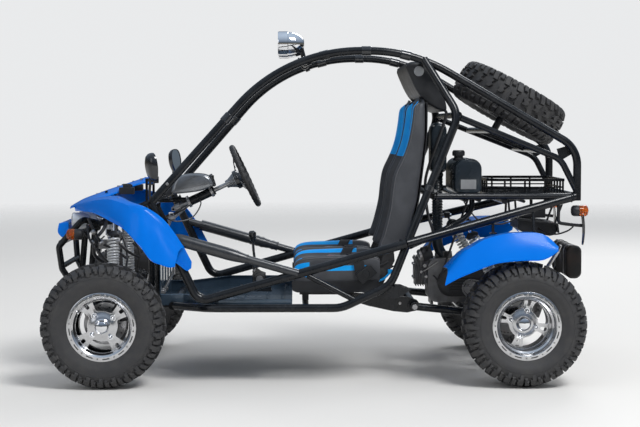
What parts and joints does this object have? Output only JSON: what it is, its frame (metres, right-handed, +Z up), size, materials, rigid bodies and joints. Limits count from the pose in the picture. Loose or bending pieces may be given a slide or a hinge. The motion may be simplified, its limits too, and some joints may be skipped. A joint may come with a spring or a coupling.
{
  "type": "two-seat dune buggy",
  "caption": "Open tube-frame off-road buggy with two bucket seats, steered front wheels, a live rear axle, roof lamps, a luggage basket and a spare wheel.",
  "frame": {"origin": "on the ground under the middle of the vehicle's box", "axes": "+X forward, +Y to the vehicle's left, +Z up"},
  "size_m": [2.353, 1.38, 1.526],
  "materials": {
    "frame_black": "gloss black powder coat",
    "foam_black": "black foam sleeve on a steel tube",
    "floor_blue": "dark blue-black sheet, satin",
    "tyre": "black rubber, dusty",
    "rim_alloy": "bright machined alloy",
    "steel": "plain and plated steel",
    "spring_steel": "bright springs on dark dampers",
    "engine_grey": "dull cast alloy and black covers",
    "exhaust_black": "heat-proof black",
    "tank_black": "moulded black plastic",
    "panel_black": "moulded dark plastic",
    "seat_fabric": "black and grey vinyl with blue inserts",
    "seat_shell": "black plastic shell",
    "control_black": "black grip and black levers",
    "body_blue": "bright blue moulded plastic, glossy",
    "lamp_chrome": "chromed bowls",
    "lamp_clear": "clear lens",
    "indicator_amber": "amber lens in a dark housing",
    "mirror_black": "black mirror housings"
  },
  "bodies": {
    "chassis": {"roof_rails": "frame_black", "rear_stays": "frame_black", "side_hoops": "frame_black", "side_braces": "frame_black", "rear_braces": "frame_black", "knee_bars": "foam_black", "cross_bars": "frame_black", "rear_rails": "frame_black", "spare_cradle": "frame_black", "front_frame": "frame_black", "floor_pan": "floor_blue", "spare_tyre": "tyre", "spare_rim": "rim_alloy", "control_arms": "frame_black", "dampers_front": "spring_steel", "dampers_rear": "spring_steel", "swing_arm": "frame_black", "pivot_brackets": "frame_black", "engine": "engine_grey", "exhaust": "exhaust_black", "fuel_tank": "tank_black", "air_box": "tank_black", "rear_panel": "panel_black", "seat_pads": "seat_fabric", "seat_shells": "seat_shell", "column_jacket": "frame_black", "rack_housing": "steel", "pedals": "control_black", "gear_lever": "control_black", "hood": "body_blue", "fenders_front": "body_blue", "nose_cap": "body_blue", "fenders_rear": "body_blue", "roof_lamps": "lamp_chrome", "headlamps": "lamp_clear", "indicators": "indicator_amber", "mirrors": "mirror_black", "bumper": "frame_black", "basket": "frame_black", "tail_brackets": "frame_black", "dash_pod": "panel_black"},
    "knuckle_left": {"knuckle_left": "steel"},
    "knuckle_right": {"knuckle_right": "steel"},
    "wheel_front_left": {"rim_front_left": "rim_alloy", "tyre_front_left": "tyre"},
    "wheel_front_right": {"rim_front_right": "rim_alloy", "tyre_front_right": "tyre"},
    "rear_axle": {"rear_axle": "steel", "rims_rear": "rim_alloy", "tyres_rear": "tyre"},
    "steering_wheel": {"steering_wheel": "control_black"},
    "lower_shaft": {"lower_shaft": "steel"},
    "steering_rack": {"tie_rods": "steel"}
  },
  "joints": [
    {"name": "steer_left", "type": "hinge", "parent": "chassis", "child": "knuckle_left", "pos_m": [0.913, 0.5, 0.264], "axis": [0, 0, 1], "range_deg": [-28, 28]},
    {"name": "steer_right", "type": "hinge", "parent": "chassis", "child": "knuckle_right", "pos_m": [0.913, -0.5, 0.264], "axis": [0, 0, 1], "range_deg": [-28, 28]},
    {"name": "steering_wheel_turn", "type": "hinge", "parent": "chassis", "child": "steering_wheel", "pos_m": [0.326, 0.245, 0.883], "axis": [-0.9063, 0, 0.4226], "range_deg": [-150, 150]},
    {"name": "lower_shaft_turn", "type": "hinge", "parent": "chassis", "child": "lower_shaft", "pos_m": [0.64321, 0.245, 0.73508], "axis": [-0.3308, 0.4258, 0.8422], "range_deg": [-150, 150]},
    {"name": "rack_slide", "type": "slide", "parent": "chassis", "child": "steering_rack", "axis": [0, 1, 0], "range_m": [-0.0446, 0.0446]},
    {"name": "spin_front_left", "type": "hinge", "parent": "knuckle_left", "child": "wheel_front_left", "pos_m": [0.913, 0.601, 0.264], "axis": [0, 1, 0], "continuous": true},
    {"name": "spin_front_right", "type": "hinge", "parent": "knuckle_right", "child": "wheel_front_right", "pos_m": [0.913, -0.601, 0.264], "axis": [0, 1, 0], "continuous": true},
    {"name": "spin_rear", "type": "hinge", "parent": "chassis", "child": "rear_axle", "pos_m": [-0.867, 0, 0.264], "axis": [0, 1, 0], "continuous": true}
  ],
  "couplings": [
    {"joint": "steer_right", "follows": "steer_left", "ratio": 1},
    {"joint": "steering_wheel_turn", "follows": "steer_left", "ratio": 5.35},
    {"joint": "lower_shaft_turn", "follows": "steer_left", "ratio": 5.35},
    {"joint": "rack_slide", "follows": "steer_left", "m_per_rad": -0.0912}
  ]
}
